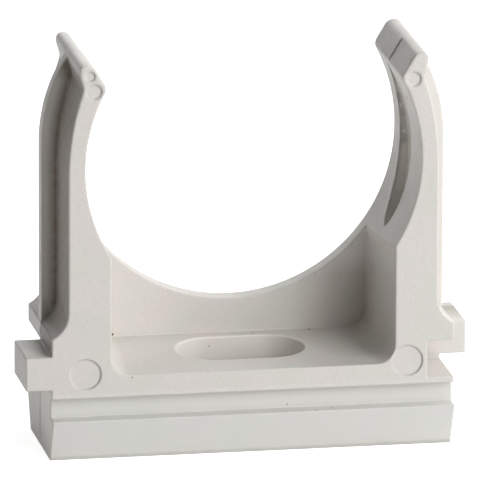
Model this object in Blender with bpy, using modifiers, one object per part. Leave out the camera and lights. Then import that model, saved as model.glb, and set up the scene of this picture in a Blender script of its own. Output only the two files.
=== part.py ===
"""Snap-in conduit clip, moulded in one piece.

X runs across the two arms, Y from the front face to the back face, and Z up from the mounting
face. The origin is the middle of the mounting face. Half a turn about Z brings the clip onto
itself, so each form that stands on one side only is made again as a turned copy.
"""

import math

import bmesh
import bpy
from mathutils import Matrix, Vector

# Pipe seat and arms, in metres
PIPE_DIAMETER = 0.0400
SEAT_HEIGHT = 0.0153
BODY_DEPTH = 0.01725
ARM_WALL = 0.0020
ARM_WRAP = math.radians(29.4)
ARM_BEND_BELOW_AXIS = 0.0009

# Lead-in tip at the head of each arm
LEAD_ANGLE = math.radians(31)
TIP_HEIGHT = 0.00286
TIP_TOP_WIDTH = 0.00153
LIP_HEIGHT = 0.00125
NECK_DEPTH = 0.00045
NOSE_RADIUS = 0.0012
LEAD_HEAD_RADIUS = 0.0011
LIP_HEAD_RADIUS = 0.0006
LIP_FOOT_RADIUS = 0.0003
NECK_RADIUS = 0.0012
PAD_STEP_DEPTH = 0.00013
PAD_STEP_AHEAD = 0.0003

# Foot: shoulder, flange, waist and block
SHOULDER_REACH = 0.0020
SHOULDER_TOP = 0.01505
FOOT_RADIUS = 0.0035
FLANGE_UNDERSIDE = 0.0078
WAIST_RECESS = 0.0012
BLOCK_HEIGHT = 0.0053
BLOCK_TOP_REACH = 0.0009
BLOCK_FOOT_INSET = 0.0016

# Lug, and the notch that takes the next clip's lug
LUG_REACH = 0.0031
LUG_HEIGHT = 0.0040
NOTCH_TOP = 0.01295
NOTCH_HEIGHT = 0.0044
NOTCH_PLAY = 0.0001

# Rib on the outer side of each arm, and hollow on its inner side
RIB_REACH = 0.00185
RIB_WIDTH = 0.0021
RIB_BEND_ABOVE_AXIS = 0.0012
RIB_HEAD_DROP = 0.0008
HOLLOW_LENGTH = 0.0202
HOLLOW_BELOW_AXIS = 0.0002
HOLLOW_FAR_BULGE = 0.0050
HOLLOW_NEAR_BULGE = 0.0019
HOLLOW_LEAN = math.radians(2.8)
HOLLOW_SHIFT_OUT = 0.0009
HOLLOW_SHIFT_DOWN = 0.0016

# Pocket that opens to the front, and screw slot in its floor
POCKET_SIDE = 0.00305
POCKET_FLOOR = 0.0104
POCKET_RADIUS = 0.0022
BACK_WALL = 0.0026
DRAFT = math.radians(3)
HEAD_SLOT_LENGTH = 0.0153
HEAD_SLOT_WIDTH = 0.0086
HEAD_SEAT_HEIGHT = 0.0040
SHANK_SLOT_WIDTH = 0.0052

# Edges, and the marks that the ejector pins leave
EDGE_RADIUS = 0.00028
MARK_DEPTH = 0.00016
FOOT_MARK_RADIUS = 0.00185
FOOT_MARK_HEIGHT = 0.0107
LUG_SIDE_MARK_INSET = 0.0040
NOTCH_SIDE_MARK_INSET = 0.0056
TIP_MARK_RADIUS = 0.0009
TIP_MARK_INSET = 0.00153
TIP_MARK_DROP = 0.00032
HEAD_MARK_RADIUS = 0.0006
HEAD_MARK_INSET = 0.00204
HEAD_MARK_RISE = 0.00154

# How finely round stretches are divided, and how far joined forms run into each other
SEAT_STEP = math.radians(2.5)
CORNER_STEP = math.radians(15)
OVERLAP = 0.0005

# Places that follow from the sizes above
SEAT_RADIUS = PIPE_DIAMETER / 2
AXIS_HEIGHT = SEAT_HEIGHT + SEAT_RADIUS
ARM_OUTSIDE = SEAT_RADIUS + ARM_WALL
END_FACE = ARM_OUTSIDE + SHOULDER_REACH
FRONT = -BODY_DEPTH / 2
BACK = BODY_DEPTH / 2
NOSE = Vector((SEAT_RADIUS * math.cos(ARM_WRAP), AXIS_HEIGHT + SEAT_RADIUS * math.sin(ARM_WRAP)))
TIP_TOP = NOSE.y + TIP_HEIGHT
LIP_OUTSIDE = NOSE.x + TIP_HEIGHT * math.tan(LEAD_ANGLE) + TIP_TOP_WIDTH
NECK = Vector((LIP_OUTSIDE - NECK_DEPTH, NOSE.y))
ARM_BEND = AXIS_HEIGHT - ARM_BEND_BELOW_AXIS
POCKET_END = BACK - BACK_WALL

# The outlines are drawn flat: seen from the front in X and Z, or from the right in Y and Z
SEEN_FROM_FRONT = Matrix(((1, 0, 0, 0), (0, 0, -1, 0), (0, 1, 0, 0), (0, 0, 0, 1)))
SEEN_FROM_RIGHT = Matrix(((0, 0, 1, 0), (1, 0, 0, 0), (0, 1, 0, 0), (0, 0, 0, 1)))
SEEN_FROM_ABOVE = Matrix.Identity(4)
HALF_TURN = Matrix.Rotation(math.pi, 4, "Z")


def arc(centre, radius, start, end, step):
    """Points on a circle from the start angle to the end angle, both included."""
    count = max(2, math.ceil(abs(end - start) / step))
    angles = [start + (end - start) * i / count for i in range(count + 1)]
    return [Vector((centre[0] + radius * math.cos(a), centre[1] + radius * math.sin(a))) for a in angles]


def bend(start, end):
    """An arc that leaves the start point straight up and leans in to the end point."""
    inward = start[0] - end[0]
    rise = end[1] - start[1]
    radius = (inward**2 + rise**2) / (2 * inward)
    return arc((start[0] - radius, start[1]), radius, 0, math.asin(rise / radius), SEAT_STEP)


def rounded(before, corner, after, radius):
    """The arc that rounds a corner between its two neighbours."""
    to_before = (Vector(before) - Vector(corner)).normalized()
    to_after = (Vector(after) - Vector(corner)).normalized()
    half = to_before.angle(to_after) / 2
    centre = Vector(corner) + (to_before + to_after).normalized() * (radius / math.sin(half))
    spoke = Vector(corner) + to_before * (radius / math.tan(half)) - centre
    side = 1 if to_before.cross(to_after) < 0 else -1
    start = math.atan2(spoke.y, spoke.x)
    return arc(centre, radius, start, start + side * (math.pi - 2 * half), CORNER_STEP)


def circle(centre, radius):
    """A full circle, without its last point, which would repeat the first."""
    return arc(centre, radius, 0, 2 * math.pi, CORNER_STEP)[:-1]


def stadium(length, width):
    """A slot outline with round ends, lying along X."""
    reach = (length - width) / 2
    right = arc((reach, 0), width / 2, -math.pi / 2, math.pi / 2, CORNER_STEP)
    return right + [-point for point in right]


def extruded(name, outline, low, high, view):
    """A flat outline with a thickness from low to high along its normal, put in place by a view."""
    curve = bpy.data.curves.new(name, "CURVE")
    curve.dimensions = "2D"
    curve.fill_mode = "BOTH"
    curve.extrude = (high - low) / 2
    spline = curve.splines.new("POLY")
    spline.points.add(len(outline) - 1)
    for point, place in zip(spline.points, outline):
        point.co = (place[0], place[1], 0, 1)
    spline.use_cyclic_u = True
    drawing = bpy.data.objects.new(name + "_drawing", curve)
    forms.objects.link(drawing)
    drawing.matrix_world = view @ Matrix.Translation((0, 0, (low + high) / 2))
    bpy.context.view_layer.update()
    mesh = bpy.data.meshes.new_from_object(drawing.evaluated_get(bpy.context.evaluated_depsgraph_get()))
    mesh.name = name
    solid = bpy.data.objects.new(name, mesh)
    solid.matrix_world = drawing.matrix_world.copy()
    bpy.data.objects.remove(drawing)
    bpy.data.curves.remove(curve)
    shape = bmesh.new()
    shape.from_mesh(mesh)
    bmesh.ops.remove_doubles(shape, verts=shape.verts, dist=0.000001)
    bmesh.ops.dissolve_limit(shape, angle_limit=0.001, verts=shape.verts, edges=shape.edges)
    bmesh.ops.recalc_face_normals(shape, faces=shape.faces)
    shape.to_mesh(mesh)
    shape.free()
    mesh.shade_smooth()
    return solid


def from_front(name, outline, front, back):
    """A solid whose outline is seen from the front, between two depths."""
    return extruded(name, outline, -back, -front, SEEN_FROM_FRONT)


def as_form(solid):
    """Files a solid with the forms that join to the clip or cut it."""
    forms.objects.link(solid)
    solid.hide_render = True
    solid.display_type = "WIRE"
    return solid


def combine(target, form, operation):
    """Joins a form to the target, cuts it away, or keeps what both share."""
    modifier = target.modifiers.new(form.name, "BOOLEAN")
    modifier.operation = operation
    modifier.solver = "EXACT"
    modifier.object = form


def turned(form):
    """The same form after half a turn about Z."""
    copy = form.copy()
    copy.name = form.name + "_turned"
    copy.matrix_world = HALF_TURN @ form.matrix_world
    forms.objects.link(copy)
    return copy


def combine_both(target, form, operation):
    """Combines a form and its turned copy with the target."""
    combine(target, form, operation)
    combine(target, turned(form), operation)


def body_outline():
    """Front view of the flange, shoulders and arms with the open seat between them."""
    sink = math.sqrt(FOOT_RADIUS**2 - (FOOT_RADIUS - SHOULDER_REACH) ** 2)
    foot_centre = (ARM_OUTSIDE + FOOT_RADIUS, SHOULDER_TOP + sink)
    foot_start = math.atan2(-sink, SHOULDER_REACH - FOOT_RADIUS)
    foot = arc(foot_centre, FOOT_RADIUS, foot_start, -math.pi, CORNER_STEP)
    outside = bend((ARM_OUTSIDE, ARM_BEND), NECK)[:-1]
    lip_foot = Vector((LIP_OUTSIDE, TIP_TOP - LIP_HEIGHT))
    lip_head = Vector((LIP_OUTSIDE, TIP_TOP))
    lead_head = Vector((LIP_OUTSIDE - TIP_TOP_WIDTH, TIP_TOP))
    seat = arc((0, AXIS_HEIGHT), SEAT_RADIUS, ARM_WRAP, -math.pi / 2, SEAT_STEP)
    tip = rounded(outside[-1], NECK, lip_foot, NECK_RADIUS)
    tip += rounded(NECK, lip_foot, lip_head, LIP_FOOT_RADIUS)
    tip += rounded(lip_foot, lip_head, lead_head, LIP_HEAD_RADIUS)
    tip += rounded(lip_head, lead_head, NOSE, LEAD_HEAD_RADIUS)
    tip += rounded(lead_head, NOSE, seat[1], NOSE_RADIUS)
    right = [Vector((END_FACE, FLANGE_UNDERSIDE))] + foot + outside + tip + seat[1:]
    left = [Vector((-point.x, point.y)) for point in reversed(right[:-1])]
    return right + left


def make_foot():
    """Waist under the flange, and the block below it whose faces lean in to the mounting face."""
    waist = BACK - WAIST_RECESS
    half = [
        Vector((BACK - BLOCK_FOOT_INSET, 0)),
        Vector((BACK + BLOCK_TOP_REACH, BLOCK_HEIGHT)),
        Vector((waist, BLOCK_HEIGHT)),
        Vector((waist, FLANGE_UNDERSIDE + OVERLAP)),
    ]
    outline = half + [Vector((-point.x, point.y)) for point in reversed(half)]
    return as_form(extruded("foot", outline, -END_FACE, END_FACE, SEEN_FROM_RIGHT))


def box_outline(left, right, bottom, top):
    """The four corners of a rectangle."""
    return [Vector((left, bottom)), Vector((right, bottom)), Vector((right, top)), Vector((left, top))]


def make_lug():
    """Left lug, on the front half."""
    outline = box_outline(-END_FACE - LUG_REACH, -END_FACE + OVERLAP, NOTCH_TOP - LUG_HEIGHT, NOTCH_TOP)
    return as_form(from_front("lug", outline, FRONT, 0))


def make_notch():
    """Right notch, on the front half, where the next clip's lug enters."""
    wall = END_FACE - LUG_REACH - NOTCH_PLAY
    outline = box_outline(wall, END_FACE + OVERLAP, NOTCH_TOP - NOTCH_HEIGHT, NOTCH_TOP)
    return as_form(from_front("notch", outline, FRONT - OVERLAP, 0))


def make_rib():
    """Right rib, in front of the parting plane, from the shoulder up to the tip's lip."""
    outside = ARM_OUTSIDE + RIB_REACH
    inside = SEAT_RADIUS + ARM_WALL / 2
    head = TIP_TOP - RIB_HEAD_DROP
    outer = bend((outside, AXIS_HEIGHT + RIB_BEND_ABOVE_AXIS), (LIP_OUTSIDE, head))
    inner = bend((inside, ARM_BEND), (NECK.x - ARM_WALL / 3, NECK.y))
    foot = SHOULDER_TOP - OVERLAP
    outline = [Vector((inside, foot)), Vector((outside, foot))] + outer
    outline += [Vector((LIP_OUTSIDE - OVERLAP, head))] + inner[::-1]
    return as_form(from_front("rib", outline, -RIB_WIDTH, 0))


def make_pocket():
    """Pocket with draft on its sides and floor, open to the front and up into the seat."""
    half = SEAT_RADIUS - POCKET_SIDE
    head = AXIS_HEIGHT
    corner = Vector((half, POCKET_FLOOR))
    right = rounded((0, POCKET_FLOOR), corner, (half, head), POCKET_RADIUS)
    outline = right + [Vector((half, head)), Vector((-half, head))]
    outline += [Vector((-point.x, point.y)) for point in reversed(right)]
    pocket = from_front("pocket", outline, FRONT, POCKET_END)
    narrowing = (POCKET_END - FRONT) * math.tan(DRAFT)
    back_plane = min(vertex.co.z for vertex in pocket.data.vertices)
    for vertex in pocket.data.vertices:
        if vertex.co.z < back_plane + OVERLAP:
            vertex.co.x *= 1 - narrowing / half
            vertex.co.y = head - (head - vertex.co.y) * (1 - narrowing / (head - POCKET_FLOOR))
    return as_form(pocket)


def make_slot(name, length, width, bottom):
    """Slot in the pocket's floor, from a height up into the open pocket."""
    return as_form(extruded(name, stadium(length, width), bottom, SEAT_HEIGHT, SEEN_FROM_ABOVE))


def make_hollow():
    """Right hollow: two half ellipses seen from the side, as deep as a seat moved out and down."""
    half = HOLLOW_LENGTH / 2
    middle = AXIS_HEIGHT - HOLLOW_BELOW_AXIS
    outline = []
    for spoke in arc((0, 0), 1, 0, 2 * math.pi, SEAT_STEP * 2)[:-1]:
        bulge = HOLLOW_FAR_BULGE if spoke.x > 0 else HOLLOW_NEAR_BULGE
        rise = spoke.y * half
        outline.append(Vector((spoke.x * bulge + rise * math.tan(HOLLOW_LEAN), middle + rise)))
    reach = SEAT_RADIUS + HOLLOW_SHIFT_OUT + OVERLAP
    lens = extruded("hollow", outline, SEAT_RADIUS / 2, reach, SEEN_FROM_RIGHT)
    centre = (HOLLOW_SHIFT_OUT, AXIS_HEIGHT - HOLLOW_SHIFT_DOWN)
    floor = arc(centre, SEAT_RADIUS, 0, 2 * math.pi, SEAT_STEP)[:-1]
    depth = from_front("hollow_depth", floor, FRONT - OVERLAP, BACK + OVERLAP)
    combine(lens, as_form(depth), "INTERSECT")
    return as_form(lens)


def make_pad_step():
    """Strip along the right lead-in pad, in front of the parting plane, by which the pad is lower."""
    along = Vector((math.sin(LEAD_ANGLE), math.cos(LEAD_ANGLE)))
    inward = Vector((math.cos(LEAD_ANGLE), -math.sin(LEAD_ANGLE)))
    low = NOSE + inward * PAD_STEP_DEPTH - along * NOSE_RADIUS * 2
    high = NOSE + inward * PAD_STEP_DEPTH + along * (TIP_HEIGHT + OVERLAP) / math.cos(LEAD_ANGLE)
    away = inward * (PAD_STEP_DEPTH + OVERLAP)
    outline = [low, high, high - away, low - away]
    return as_form(from_front("pad_step", outline, FRONT - OVERLAP, -PAD_STEP_AHEAD))


def make_mark(name, across, height, radius):
    """Round mark that an ejector pin leaves in the front face."""
    return as_form(from_front(name, circle((across, height), radius), FRONT - OVERLAP, FRONT + MARK_DEPTH))


def round_edges(target):
    """Rounds every edge that turns by more than a few of the seat's facets."""
    edges = target.modifiers.new("edges", "BEVEL")
    edges.width = EDGE_RADIUS
    edges.segments = 3
    edges.limit_method = "ANGLE"
    edges.angle_limit = math.radians(40)


def pvc():
    """Light grey rigid PVC with a satin moulded face."""
    material = bpy.data.materials.new("light_grey_pvc")
    material.use_nodes = True
    shader = material.node_tree.nodes["Principled BSDF"]
    shader.inputs["Base Color"].default_value = (0.64, 0.605, 0.575, 1)
    shader.inputs["Roughness"].default_value = 0.5
    shader.inputs["Metallic"].default_value = 0
    return material


for item in list(bpy.data.objects):
    bpy.data.objects.remove(item)
clip_collection = bpy.data.collections.new("conduit_clip")
forms = bpy.data.collections.new("forms")
bpy.context.scene.collection.children.link(clip_collection)
bpy.context.scene.collection.children.link(forms)

clip = from_front("conduit_clip", body_outline(), FRONT, BACK)
clip_collection.objects.link(clip)
clip.data.materials.append(pvc())
combine(clip, make_foot(), "UNION")
combine_both(clip, make_lug(), "UNION")
combine_both(clip, make_rib(), "UNION")
combine_both(clip, make_notch(), "DIFFERENCE")
combine(clip, make_pocket(), "DIFFERENCE")
combine(clip, make_slot("head_slot", HEAD_SLOT_LENGTH, HEAD_SLOT_WIDTH, HEAD_SEAT_HEIGHT), "DIFFERENCE")
shank_length = HEAD_SLOT_LENGTH - HEAD_SLOT_WIDTH + SHANK_SLOT_WIDTH
combine(clip, make_slot("shank_slot", shank_length, SHANK_SLOT_WIDTH, -OVERLAP), "DIFFERENCE")
round_edges(clip)
combine_both(clip, make_hollow(), "DIFFERENCE")
combine_both(clip, make_pad_step(), "DIFFERENCE")
foot_left = LUG_SIDE_MARK_INSET - END_FACE
foot_right = END_FACE - NOTCH_SIDE_MARK_INSET
tip_across = NOSE.x + TIP_MARK_INSET
tip_height = NOSE.y - TIP_MARK_DROP
for name, across, height, radius in (
    ("lug_side_mark", foot_left, FOOT_MARK_HEIGHT, FOOT_MARK_RADIUS),
    ("notch_side_mark", foot_right, FOOT_MARK_HEIGHT, FOOT_MARK_RADIUS),
    ("left_tip_mark", -tip_across, tip_height, TIP_MARK_RADIUS),
    ("right_tip_mark", tip_across, tip_height, TIP_MARK_RADIUS),
    ("left_head_mark", -NOSE.x - HEAD_MARK_INSET, NOSE.y + HEAD_MARK_RISE, HEAD_MARK_RADIUS),
):
    combine_both(clip, make_mark(name, across, height, radius), "DIFFERENCE")
clip.modifiers.new("flat_face_normals", "WEIGHTED_NORMAL")
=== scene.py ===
import math

import bmesh
import bpy
import numpy as np
from mathutils import Matrix, Vector


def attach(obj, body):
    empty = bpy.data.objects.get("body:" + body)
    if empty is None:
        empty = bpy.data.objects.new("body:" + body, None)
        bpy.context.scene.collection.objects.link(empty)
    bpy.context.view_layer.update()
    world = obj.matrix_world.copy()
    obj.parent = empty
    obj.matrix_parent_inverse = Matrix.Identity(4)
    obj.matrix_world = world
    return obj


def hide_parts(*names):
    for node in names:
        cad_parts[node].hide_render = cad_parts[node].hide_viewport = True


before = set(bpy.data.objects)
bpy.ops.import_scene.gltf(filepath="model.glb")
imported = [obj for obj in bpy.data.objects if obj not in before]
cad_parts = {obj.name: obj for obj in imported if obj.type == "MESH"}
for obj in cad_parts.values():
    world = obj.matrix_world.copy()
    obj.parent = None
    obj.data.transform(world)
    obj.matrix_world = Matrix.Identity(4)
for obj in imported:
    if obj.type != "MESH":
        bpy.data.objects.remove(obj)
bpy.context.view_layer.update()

# The clip's body: one injection moulding in light grey rigid PVC, so it is one piece from the
# mounting block up to the lead-in tips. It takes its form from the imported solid, with the folded
# triangles on its shoulders laid flat, and its seat is shaded round, as its steel core left it.
NODE = "conduit_clip"
WELD = 0.000001
FLAT = math.radians(0.2)
FOLDED = math.radians(175)
CREASE = math.radians(40)
SEAT_RADIUS = 0.0200
SEAT_AXES = ((0, 0.0353), (0.0009, 0.0337), (-0.0009, 0.0337))
SEAT_PLAY = 0.00003
FACET_LEAN = math.radians(3)
LARGE_FACES = 80

body_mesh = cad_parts[NODE].data.copy()
body_mesh.name = "clip_body"
shape = bmesh.new()
shape.from_mesh(body_mesh)
bmesh.ops.remove_doubles(shape, verts=shape.verts, dist=WELD)
folds = [edge for edge in shape.edges if edge.calc_face_angle(0) > FOLDED]
bmesh.ops.dissolve_edges(shape, edges=folds, use_verts=False)
bmesh.ops.dissolve_limit(shape, angle_limit=FLAT, verts=shape.verts, edges=shape.edges)
shape.to_mesh(body_mesh)
shape.free()
body_mesh.materials.clear()
body_mesh.shade_smooth()
body_mesh.set_sharp_from_angle(angle=CREASE)
body = bpy.data.objects.new("clip_body", body_mesh)
bpy.context.scene.collection.objects.link(body)


def weighted_normals(piece):
    """A normal for each face corner, in which the large faces around it count most."""
    weighting = piece.modifiers.new("weighting", "WEIGHTED_NORMAL")
    weighting.weight = LARGE_FACES
    weighting.keep_sharp = True
    weighted = piece.evaluated_get(bpy.context.evaluated_depsgraph_get()).to_mesh()
    normals = np.empty(len(weighted.loops) * 3, np.float32)
    weighted.corner_normals.foreach_get("vector", normals)
    piece.modifiers.remove(weighting)
    return normals.reshape(-1, 3)


def rounded_seat(mesh, normals):
    """Corners on the seat's circle, and on the same circle moved out in the hollows, get the unit
    vector towards its axis, in X and Z, in place of the facets' mean."""
    points = np.empty(len(mesh.vertices) * 3, np.float32)
    mesh.vertices.foreach_get("co", points)
    corners = np.empty(len(mesh.loops), np.int32)
    mesh.loops.foreach_get("vertex_index", corners)
    sides = np.empty(len(mesh.polygons), np.int32)
    mesh.polygons.foreach_get("loop_total", sides)
    facing = np.empty(len(mesh.polygons) * 3, np.float32)
    mesh.polygons.foreach_get("normal", facing)
    facing = np.repeat(facing.reshape(-1, 3), sides, axis=0)
    for axis in SEAT_AXES:
        inward = np.array(axis) - points.reshape(-1, 3)[corners][:, [0, 2]]
        reach = np.linalg.norm(inward, axis=1)
        inward = inward / reach[:, None]
        lean = inward[:, 0] * facing[:, 0] + inward[:, 1] * facing[:, 2]
        on_seat = (abs(reach - SEAT_RADIUS) < SEAT_PLAY) & (lean > math.cos(FACET_LEAN))
        normals[on_seat] = np.column_stack((inward[:, 0], inward[:, 0] * 0, inward[:, 1]))[on_seat]
    return normals


body_mesh.normals_split_custom_set(rounded_seat(body_mesh, weighted_normals(body)).tolist())

# Its surface is satin PVC as the steel mould left it: clouded in two near greys, with a fine
# speckle and grain and slight sink waves. Its sharp edges get a painted highlight, and the
# foot and some shaded faces are painted paler, as painted light. Brown dust and painted shade
# sit in the corners and in the recesses outside the arms, down to the shoulders.
GREEN_GREY = (0.620, 0.614, 0.566)
PINK_GREY = (0.656, 0.611, 0.583)
CLOUD_SIZE = 0.005
CLOUD_SPAN = (0.38, 0.62)
DARK_SPECKLE = (0.575, 0.550, 0.520)
SPECKLE_SIZE = 0.0003
SPECKLE_SPAN = (0.50, 0.75)
SPECKLE_SHARE = 0.8
RAYS_PER_POINT = 8

pvc = bpy.data.materials.new("light_grey_pvc")
pvc.use_nodes = True
nodes = pvc.node_tree.nodes
links = pvc.node_tree.links
pvc_shader = nodes["Principled BSDF"]
place = nodes.new("ShaderNodeTexCoord")


def noise(size, detail):
    """Noise over the object's own place, with forms about as wide as the size."""
    texture = nodes.new("ShaderNodeTexNoise")
    texture.inputs["Scale"].default_value = 1 / size
    texture.inputs["Detail"].default_value = detail
    links.new(place.outputs["Object"], texture.inputs["Vector"])
    return texture.outputs["Fac"]


def ranged(value, span, low, high):
    """Stretches a value that runs over a span, from its start to its end, from low to high."""
    stretch = nodes.new("ShaderNodeMapRange")
    stretch.inputs["From Min"].default_value = span[0]
    stretch.inputs["From Max"].default_value = span[1]
    stretch.inputs["To Min"].default_value = low
    stretch.inputs["To Max"].default_value = high
    links.new(value, stretch.inputs["Value"])
    return stretch.outputs["Result"]


def blended(share, first, second):
    """A colour between two others, each of them a socket or a fixed colour."""
    mix = nodes.new("ShaderNodeMix")
    mix.data_type = "RGBA"
    links.new(share, mix.inputs[0])
    for socket, colour in ((mix.inputs[6], first), (mix.inputs[7], second)):
        if isinstance(colour, tuple):
            socket.default_value = (*colour, 1)
        else:
            links.new(colour, socket)
    return mix.outputs[2]


def worked(operation, first, *others):
    """One operation on sockets or numbers: on the first two, then on the result and the next. An
    operation on one value, such as ABSOLUTE, leaves the second unread."""
    for other in others:
        step = nodes.new("ShaderNodeMath")
        step.operation = operation
        for socket, value in zip(step.inputs, (first, other)):
            if isinstance(value, float):
                socket.default_value = value
            else:
                links.new(value, socket)
        first = step.outputs[0]
    return first


def distance(first, second):
    """The square root of the sum of two squares."""
    squares = worked("ADD", worked("MULTIPLY", first, first), worked("MULTIPLY", second, second))
    return worked("POWER", squares, 0.5)


def closeness(reach, inside):
    """How near other surfaces are: 1 in a tight corner, or on a sharp edge if seen from inside."""
    cover = nodes.new("ShaderNodeAmbientOcclusion")
    cover.samples = RAYS_PER_POINT
    cover.inside = inside
    cover.inputs["Distance"].default_value = reach
    return worked("SUBTRACT", 1.0, cover.outputs["AO"])


def bumped(normal, height, strength, rise):
    """A normal that is tilted by a height, on top of another normal."""
    bump = nodes.new("ShaderNodeBump")
    bump.inputs["Strength"].default_value = strength
    bump.inputs["Distance"].default_value = rise
    links.new(height, bump.inputs["Height"])
    links.new(normal, bump.inputs["Normal"])
    return bump.outputs["Normal"]


clouds = blended(ranged(noise(CLOUD_SIZE, detail=2), CLOUD_SPAN, 0, 1), GREEN_GREY, PINK_GREY)
speckles = ranged(noise(SPECKLE_SIZE, detail=3), SPECKLE_SPAN, 0, SPECKLE_SHARE)
speckled = blended(speckles, clouds, DARK_SPECKLE)

# The foot is painted paler than the rest, as painted light thrown up from the table, and the
# slot's wall, the block's left end and the hollows' walls are painted paler, as painted light in
# their shade. All sharp edges get a painted highlight. Each span tells where on the clip such a
# face starts.
FOOT_BOUNCE_LIGHT = (0.70, 0.70, 0.675)
FOOT_LIGHT_SHARE = 0.75
FOOT_TOP = (0.0074, 0.0086)
PAINTED_FILL_LIGHT = (0.84, 0.80, 0.74)
LEFT_END = (-0.0239, -0.0237)
LEFT_END_LIGHT_SHARE = 0.9
SLOT_HALF_STRAIGHT = 0.00335
SLOT_WALL = (0.0044, 0.0047)
SLOT_BOTTOM = (0.0080, 0.0090)
SLOT_LIGHT_SHARE = 0.6
HOLLOW_OPENING = (0.0201, 0.0203)
HOLLOW_FLOOR = (0.0213, 0.0215)
HOLLOW_FOOT = (0.0225, 0.0232)
HOLLOW_HEAD = (0.0430, 0.0440)
RIM_SIDES = (0.0080, 0.0086)
HOLLOW_FADE = (0.0275, 0.0295)
HOLLOW_LIGHT_SHARE = 0.9
EDGE_HIGHLIGHT = (0.76, 0.74, 0.70)
EDGE_REACH = 0.0004
EDGE_SPAN = (0.55, 0.90)
EDGE_HIGHLIGHT_SHARE = 0.7

split = nodes.new("ShaderNodeSeparateXYZ")
links.new(place.outputs["Object"], split.inputs[0])
over_x, over_y, over_z = split.outputs
wide_x = worked("ABSOLUTE", over_x, 0.0)
wide_y = worked("ABSOLUTE", over_y, 0.0)
over_seat_axis = worked("SUBTRACT", over_z, SEAT_AXES[0][1])
from_seat_axis = distance(over_x, over_seat_axis)
past_straight = worked("MAXIMUM", worked("SUBTRACT", wide_x, SLOT_HALF_STRAIGHT), 0.0)

# Painted light: the foot is painted paler, up to the flange's top.
foot_lit = blended(ranged(over_z, FOOT_TOP, FOOT_LIGHT_SHARE, 0), speckled, FOOT_BOUNCE_LIGHT)
# Painted light in the shade of the slot, the left end and the hollows, fullest low in the hollows.
in_slot = worked("MINIMUM", ranged(distance(past_straight, wide_y), SLOT_WALL, SLOT_LIGHT_SHARE, 0),
                 ranged(over_z, SLOT_BOTTOM, 0, 1))
on_end = worked("MINIMUM", ranged(over_x, LEFT_END, LEFT_END_LIGHT_SHARE, 0),
                ranged(over_z, FOOT_TOP, 1, 0))
in_hollow = worked("MINIMUM", ranged(from_seat_axis, HOLLOW_OPENING, 0, 1),
                   ranged(from_seat_axis, HOLLOW_FLOOR, 1, 0), ranged(over_z, HOLLOW_FOOT, 0, 1),
                   ranged(over_z, HOLLOW_HEAD, 1, 0), ranged(wide_y, RIM_SIDES, 1, 0))
hollow_light = worked("MULTIPLY", in_hollow, ranged(over_z, HOLLOW_FADE, 1, HOLLOW_LIGHT_SHARE))
fill_lit = blended(worked("MAXIMUM", in_slot, on_end, hollow_light), foot_lit, PAINTED_FILL_LIGHT)
# Painted highlight on all sharp edges, found by how near the surface lies when seen from inside.
painted_edge_highlight = ranged(closeness(EDGE_REACH, True), EDGE_SPAN, 0, EDGE_HIGHLIGHT_SHARE)
edge_lit = blended(painted_edge_highlight, fill_lit, EDGE_HIGHLIGHT)

# Brown dust and painted shade lie outside each arm in the recess beside its rib, where X times Y
# is positive, and thickest on the arm's own wall. Painted shade also darkens the pocket's far
# corner, and the corners and creases below the seat and outside the arms.
# The brown of the dust, also used for painted shade.
DUST_AND_SHADE = (0.21, 0.165, 0.125)
ARM_WALL = (0.0210, 0.0212)
TIP_START = 0.0440
TIP_LEAN = 0.9
TIP_UNDERSIDE = (0.0464, 0.0471)
RECESS_SIDE = (-2e-6, -1e-6)
FLANGE_TOP = (0.0085, 0.0090)
RECESS_DEPTH = (0.0221, 0.0226)
RECESS_SHARES = (0.64, 0.44)
RIB_FACE = (0.0226, 0.0233)
RIB_FOOT = (0.0160, 0.0185)
SHOULDER = (0.0130, 0.0140)
POCKET_FRONT = (0.0010, 0.0055)
POCKET_BACK = (0.0065, 0.0075)
POCKET_FLOOR = (0.0098, 0.0108)
POCKET_TOP = (0.0175, 0.0200)
POCKET_RIGHT = (0.0070, 0.0155)
POCKET_SHADE_SHARE = 0.36
SEAT_BOTTOM = (0.0215, 0.0235)
CORNER_REACH = 0.0020
CORNER_SPAN = (0.20, 0.80)
CORNER_SHADE_SHARE = 0.05
CORNER_SHADE_SHARE_OUTSIDE = 0.50
CREVICE_REACH = 0.0012
CREVICE_SPAN = (0.38, 0.52)
CREVICE_SHADE_SHARE = 0.24
DUST_AND_SHADE_PATCH = 0.0008
DUST_AND_SHADE_SPAN = (0.35, 0.65)
DUST_AND_SHADE_SHARES = (0.88, 1.08)

past_axis = worked("MAXIMUM", over_seat_axis, 0.0)
past_tip_start = worked("MAXIMUM", worked("SUBTRACT", over_z, TIP_START), 0.0)
tip_lean = worked("MULTIPLY", past_tip_start, TIP_LEAN)
from_arch = worked("SUBTRACT", distance(wide_x, past_axis), tip_lean)
outside = worked("MULTIPLY", ranged(from_arch, ARM_WALL, 0, 1), ranged(over_z, TIP_UNDERSIDE, 1, 0),
                 ranged(wide_y, RIM_SIDES, 1, 0),
                 ranged(worked("MULTIPLY", over_x, over_y), RECESS_SIDE, 0, 1),
                 ranged(over_z, FLANGE_TOP, 0, 1))
off_rib = worked("MAXIMUM", ranged(from_arch, RIB_FACE, 1, 0), ranged(over_z, RIB_FOOT, 1, 0))
recess_dust_and_shade = worked("MULTIPLY", outside, off_rib, ranged(over_z, SHOULDER, 0, 1),
                ranged(from_arch, RECESS_DEPTH, *RECESS_SHARES))
in_pocket = worked("MINIMUM", ranged(over_y, POCKET_FRONT, 0, 1), ranged(over_y, POCKET_BACK, 1, 0),
                   ranged(over_z, POCKET_FLOOR, 0, 1), ranged(over_z, POCKET_TOP, 1, 0))
# Painted shade in the pocket's far corner.
far_corner_shade = worked("MULTIPLY", ranged(over_x, POCKET_RIGHT, 0, POCKET_SHADE_SHARE), in_pocket)
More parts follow.
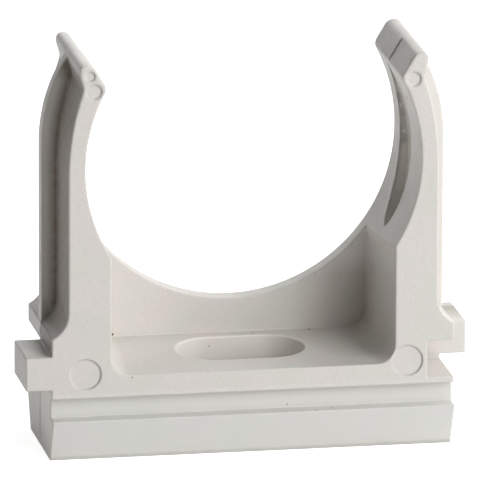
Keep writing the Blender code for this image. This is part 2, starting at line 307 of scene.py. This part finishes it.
# Painted shade in corners and creases, from how near other surfaces are.
corner = ranged(closeness(CORNER_REACH, False), CORNER_SPAN, 0, 1)
crevice = ranged(closeness(CREVICE_REACH, False), CREVICE_SPAN, 0, CREVICE_SHADE_SHARE)
corner_shade_share = worked("ADD", worked("MULTIPLY", outside, CORNER_SHADE_SHARE_OUTSIDE), CORNER_SHADE_SHARE)
corner_shade = worked("ADD", worked("MULTIPLY", corner, corner_shade_share), crevice)
below_seat = worked("MAXIMUM", outside, ranged(over_z, SEAT_BOTTOM, 1, 0))
dust_and_shade_share = worked("ADD", recess_dust_and_shade, far_corner_shade, worked("MULTIPLY", corner_shade, below_seat))
patches = ranged(noise(DUST_AND_SHADE_PATCH, detail=3), DUST_AND_SHADE_SPAN, *DUST_AND_SHADE_SHARES)
dust_and_shade = worked("MULTIPLY", dust_and_shade_share, patches)
links.new(blended(dust_and_shade, edge_lit, DUST_AND_SHADE), pvc_shader.inputs["Base Color"])

# The mould's satin is rougher where the dust and painted shade lie and in the hollows. All edges
# are a little round, most of all at the step across each tip and round the tips' marks, and the
# walls have sunk in slow waves where they cooled.
GLOSS_PATCH = 0.0015
GLOSS_SPAN = (0.3, 0.7)
SATIN = (0.42, 0.54)
DUST_ROUGHNESS = 0.3
HOLLOW_ROUGHNESS = 0.45
EDGE_RADIUS = 0.00035
STEP_SIDES = (0.0008, 0.0012)
STEP_FOOT = (0.0440, 0.0446)
STEP_RADIUS = 0.00065
MARK_SIDES = (0.0080, 0.0084)
MARK_FOOT = (0.0425, 0.0430)
MARK_RADIUS = 0.0002
WAVE_SIZE = 0.007
WAVE_STRENGTH = 1.0
WAVE_RISE = 0.00006
GRAIN_SIZE = 0.00022
GRAIN_STRENGTH = 0.35
GRAIN_RISE = 0.00002

satin = ranged(noise(GLOSS_PATCH, detail=4), GLOSS_SPAN, *SATIN)
links.new(worked("ADD", satin, worked("MULTIPLY", dust_and_shade, DUST_ROUGHNESS),
                 worked("MULTIPLY", in_hollow, HOLLOW_ROUGHNESS)), pvc_shader.inputs["Roughness"])
near_step = worked("MINIMUM", ranged(wide_y, STEP_SIDES, STEP_RADIUS, 0),
                   ranged(over_z, STEP_FOOT, 0, 1))
near_marks = worked("MINIMUM", ranged(wide_y, MARK_SIDES, 0, MARK_RADIUS),
                    ranged(over_z, MARK_FOOT, 0, 1))
soft_edges = nodes.new("ShaderNodeBevel")
soft_edges.samples = RAYS_PER_POINT
links.new(worked("ADD", worked("MAXIMUM", near_step, near_marks), EDGE_RADIUS),
          soft_edges.inputs["Radius"])
waves = noise(WAVE_SIZE, detail=1)
waved = bumped(soft_edges.outputs["Normal"], waves, WAVE_STRENGTH, WAVE_RISE)
grained = bumped(waved, noise(GRAIN_SIZE, detail=4), GRAIN_STRENGTH, GRAIN_RISE)
links.new(grained, pvc_shader.inputs["Normal"])
body_mesh.materials.append(pvc)

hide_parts(NODE)
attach(body, "root")

# The mould's two halves meet on the plane Y = 0, and leave a hairline of flash where it crosses the
# end faces below and above the lug and the notch.
RIDGE_WIDTH = 0.00016
RIDGE_RISE = 0.00004
RIDGE_ROOT = 0.00003
RIDGE_FACE = 0.024
RIDGE_SPANS = ((0.00030, 0.0083), (0.0132, 0.0147))
RIDGE_RINGS = 41
OUTER_POINTS = 9
INNER_POINTS = 5
POLE_WELD = 0.0000001


def flash_ridge(side, low, high):
    """A closed bar of flash up an end face. Round the bar, the outer half is a raised cosine of the
    place across it and the inner half lies flat in the wall. Along it, the width and the rise are
    the square root of the sine of the way along, so that both ends close to a point."""
    along = np.linspace(0, 1, RIDGE_RINGS)[:, None]
    across = np.concatenate((np.linspace(-1, 1, OUTER_POINTS),
                             np.linspace(1, -1, INNER_POINTS)[1:-1]))[None, :]
    outer = np.arange(across.size) < OUTER_POINTS
    swell = np.sqrt(np.sin(np.pi * along))
    rise = np.where(outer, (1 + np.cos(np.pi * across)) / 2 * RIDGE_RISE, -RIDGE_ROOT)
    return np.stack((side * (RIDGE_FACE + rise * swell),
                     side * across * swell * RIDGE_WIDTH / 2,
                     low + (high - low) * along + 0 * across), axis=2)


def skinned(name, grids):
    """A mesh of closed tubes. Each grid holds rings of points, and its quads join every ring to the
    next one, the last point of a ring to the first. End rings are points, merged after."""
    points, faces, start = [], [], 0
    for grid in grids:
        rings, turns = grid.shape[:2]
        ring = np.arange(rings - 1)[:, None] * turns
        turn = np.arange(turns)[None, :]
        after = (turn + 1) % turns
        quads = np.stack((ring + turn, ring + after,
                          ring + turns + after, ring + turns + turn), axis=2)
        points.append(grid.reshape(-1, 3))
        faces.append(quads.reshape(-1, 4) + start)
        start += rings * turns
    mesh = bpy.data.meshes.new(name)
    mesh.from_pydata(np.concatenate(points).tolist(), [], np.concatenate(faces).tolist())
    joined = bmesh.new()
    joined.from_mesh(mesh)
    bmesh.ops.remove_doubles(joined, verts=joined.verts, dist=POLE_WELD)
    bmesh.ops.recalc_face_normals(joined, faces=joined.faces)
    joined.to_mesh(mesh)
    joined.free()
    mesh.shade_smooth()
    return mesh


ridges = [flash_ridge(side, low, high) for side in (-1, 1) for low, high in RIDGE_SPANS]
flash_mesh = skinned("parting_line_flash", ridges)
flash_mesh.materials.append(pvc)
flash = bpy.data.objects.new("parting_line_flash", flash_mesh)
bpy.context.scene.collection.objects.link(flash)
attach(flash, "root")

# Specks of dark dust cling to it, in the pocket's corners, on the ledge, on the arms and on a tip.
# Each one is a flat lump half sunk in the surface, and its row gives its middle, the surface's
# normal there, its width and its length.
SPECK_HEIGHT = 0.00006
NEARLY_UP = 0.9
SPECK_TURNS = 12
SPECK_RINGS = 7
TWO_LOBES = 0.22
THREE_LOBES = 0.13
DARK_GRIME = (0.060, 0.045, 0.038)
BROWN_GRIME = (0.150, 0.115, 0.090)
GRIME_SIZE = 0.0001
GRIME_SPAN = (0.3, 0.7)
GRIME_ROUGHNESS = 0.9
SPECKS = (
    ((-0.01429, 0.00603, 0.01145), (0, -1, 0), 0.00020, 0.00042),
    ((0.00930, 0.00560, 0.01115), (0, -0.05, 1), 0.00036, 0.00030),
    ((0.00239, 0.00532, 0.01113), (0, -0.05, 1), 0.00020, 0.00024),
    ((-0.00303, 0.00430, 0.00999), (0, -1, 0), 0.00022, 0.00010),
    ((-0.01448, -0.00862, 0.01014), (0, -1, 0), 0.00016, 0.00020),
    ((0.00423, -0.00744, 0.00570), (0, -1, 0), 0.00014, 0.00020),
    ((0.00742, -0.00924, 0.00530), (0, 0, 1), 0.00024, 0.00012),
    ((0.00949, -0.00812, 0.00530), (0, 0, 1), 0.00026, 0.00014),
    ((0.01900, -0.00422, 0.04152), (-0.95, 0, -0.31), 0.00018, 0.00034),
    ((0.01870, -0.00773, 0.04698), (-0.86, 0, 0.52), 0.00030, 0.00014),
    ((-0.02138, -0.00109, 0.04073), (-0.98, 0, 0.18), 0.00024, 0.00026),
    ((-0.02202, -0.00448, 0.01806), (-0.99, 0, 0.11), 0.00012, 0.00030),
    ((-0.02208, -0.00482, 0.01755), (-0.99, 0, 0.11), 0.00012, 0.00040),
)


def speck(middle, normal, width, length, number):
    """A closed lump. Round it, the radius is one plus two small sines of the way round, whose
    starts come from its number. From pole to pole, the cosine gives its reach and the sine its
    height."""
    normal = Vector(normal).normalized()
    up = Vector((0, 0, 1)) if abs(normal.z) < NEARLY_UP else Vector((0, 1, 0))
    side = up.cross(normal).normalized()
    up = normal.cross(side)
    turn = np.linspace(0, 2 * np.pi, SPECK_TURNS, endpoint=False)[None, :]
    tilt = np.linspace(-np.pi / 2, np.pi / 2, SPECK_RINGS)[:, None]
    reach = (1 + TWO_LOBES * np.sin(2 * turn + number)
             + THREE_LOBES * np.sin(3 * turn + 2 * number))
    shares = (np.cos(tilt) * np.cos(turn) * reach * width / 2,
              np.cos(tilt) * np.sin(turn) * reach * length / 2,
              np.sin(tilt) * SPECK_HEIGHT / 2 + 0 * turn)
    return np.array(middle) + sum(share[..., None] * np.array(way)
                                  for share, way in zip(shares, (side, up, normal)))


specks_mesh = skinned("dust_specks", [speck(*row, number) for number, row in enumerate(SPECKS)])
grime = bpy.data.materials.new("dark_dust")
grime.use_nodes = True
nodes = grime.node_tree.nodes
links = grime.node_tree.links
place = nodes.new("ShaderNodeTexCoord")
grime_shader = nodes["Principled BSDF"]
grime_share = ranged(noise(GRIME_SIZE, detail=3), GRIME_SPAN, 0, 1)
links.new(blended(grime_share, DARK_GRIME, BROWN_GRIME), grime_shader.inputs["Base Color"])
grime_shader.inputs["Roughness"].default_value = GRIME_ROUGHNESS
specks_mesh.materials.append(grime)
specks = bpy.data.objects.new("dust_specks", specks_mesh)
bpy.context.scene.collection.objects.link(specks)
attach(specks, "root")

# The floor is a plain white table top. It shows as white where nothing shades it, and the clip's
# shadow stays on it.
FLOOR_REACH = 1.5
FLOOR_LEVEL = 0.85
TABLE_WHITE = (0.90, 0.90, 0.90, 1)
TABLE_ROUGHNESS = 0.9

floor_mesh = bpy.data.meshes.new("floor")
corners = np.array([(-1, -1, 0), (1, -1, 0), (1, 1, 0), (-1, 1, 0)]) * FLOOR_REACH
floor_mesh.from_pydata(corners.tolist(), [], [(0, 1, 2, 3)])
floor = bpy.data.objects.new("floor", floor_mesh)
bpy.context.scene.collection.objects.link(floor)
floor_paint = bpy.data.materials.new("white_table")
floor_paint.use_nodes = True
nodes = floor_paint.node_tree.nodes
links = floor_paint.node_tree.links
table_shader = nodes["Principled BSDF"]
table_shader.inputs["Base Color"].default_value = TABLE_WHITE
table_shader.inputs["Roughness"].default_value = TABLE_ROUGHNESS
table_shader.inputs["Specular IOR Level"].default_value = 0
glow = nodes.new("ShaderNodeEmission")
glow.inputs["Color"].default_value = (1, 1, 1, 1)
path = nodes.new("ShaderNodeLightPath")
seen = worked("MAXIMUM", path.outputs["Is Camera Ray"], path.outputs["Is Glossy Ray"],
              path.outputs["Is Transmission Ray"])
links.new(worked("MULTIPLY", seen, FLOOR_LEVEL), glow.inputs["Strength"])
both = nodes.new("ShaderNodeAddShader")
links.new(table_shader.outputs[0], both.inputs[0])
links.new(glow.outputs[0], both.inputs[1])
links.new(both.outputs[0], nodes["Material Output"].inputs["Surface"])
floor_mesh.materials.append(floor_paint)

# The light is that of a small photo table: soft lamps in front on the right, at three heights, two
# more at the right side, a low and a high one, and a low one behind that lights the upper faces.
# Gloss mirrors white surroundings, which hardly light the clip otherwise.
MIDDLE = Vector((0, 0, 0.024))
LAMP_DISTANCE = 0.9
WORLD_LEVEL = 0.02


def soft_lamp(name, azimuth, elevation, across, watts):
    """A square lamp aimed at the clip's middle, azimuth counted from the front towards +X."""
    turn = math.radians(azimuth)
    rise = math.radians(elevation)
    aim = Vector((math.sin(turn) * math.cos(rise), -math.cos(turn) * math.cos(rise),
                  math.sin(rise)))
    light = bpy.data.lights.new(name, "AREA")
    light.size = across
    light.energy = watts
    lamp = bpy.data.objects.new(name, light)
    lamp.location = MIDDLE + aim * LAMP_DISTANCE
    lamp.rotation_euler = aim.to_track_quat("Z", "Y").to_euler()
    lamp.visible_camera = False
    bpy.context.scene.collection.objects.link(lamp)


soft_lamp("front_right_lamp", 40, 20, 0.70, 4.8)
soft_lamp("low_front_lamp", 25, 5, 0.60, 1.1)
soft_lamp("high_front_lamp", 30, 43, 0.60, 2.7)
soft_lamp("right_lamp", 100, 10, 0.60, 4.0)
soft_lamp("high_right_lamp", 120, 55, 0.60, 2.5)
soft_lamp("back_lamp", 180, 15, 0.60, 1.6)

world = bpy.data.worlds.new("white_surroundings")
bpy.context.scene.world = world
world.use_nodes = True
nodes = world.node_tree.nodes
links = world.node_tree.links
sky = nodes["Background"]
sky.inputs["Color"].default_value = (1, 1, 1, 1)
path = nodes.new("ShaderNodeLightPath")
links.new(worked("MAXIMUM", path.outputs["Is Glossy Ray"], WORLD_LEVEL), sky.inputs["Strength"])

# The camera stands in front, a little to the left and above, with a long lens. Pixels are those of
# a picture of 480 by 480, counted from its top left corner.
VIEW_AZIMUTH = math.radians(10.384)
VIEW_ELEVATION = math.radians(14.685)
VIEW_ROLL = math.radians(0.206)
VIEW_DISTANCE = 1.4387
PIXELS_PER_METRE = 8482
IMAGE_SIDE = 480
SENSOR = 36.0
AIM_PIXEL = (240.9, 239.6)
NEAR_CLIP = 0.1
FAR_CLIP = 10

looking = Vector((math.sin(VIEW_AZIMUTH) * math.cos(VIEW_ELEVATION),
                  math.cos(VIEW_AZIMUTH) * math.cos(VIEW_ELEVATION), -math.sin(VIEW_ELEVATION)))
lens = bpy.data.cameras.new("camera")
lens.sensor_width = SENSOR
lens.lens = PIXELS_PER_METRE * VIEW_DISTANCE / IMAGE_SIDE * SENSOR
lens.shift_x = (IMAGE_SIDE / 2 - AIM_PIXEL[0]) / IMAGE_SIDE
lens.shift_y = (AIM_PIXEL[1] - IMAGE_SIDE / 2) / IMAGE_SIDE
lens.clip_start = NEAR_CLIP
lens.clip_end = FAR_CLIP
camera = bpy.data.objects.new("camera", lens)
camera.location = MIDDLE - looking * VIEW_DISTANCE
upright = (-looking).to_track_quat("Z", "Y").to_matrix().to_4x4()
roll = Matrix.Rotation(VIEW_ROLL, 4, "Z")
camera.rotation_euler = (upright @ roll).to_euler()
bpy.context.scene.collection.objects.link(camera)
bpy.context.scene.camera = camera
bpy.context.scene.view_settings.view_transform = "Standard"
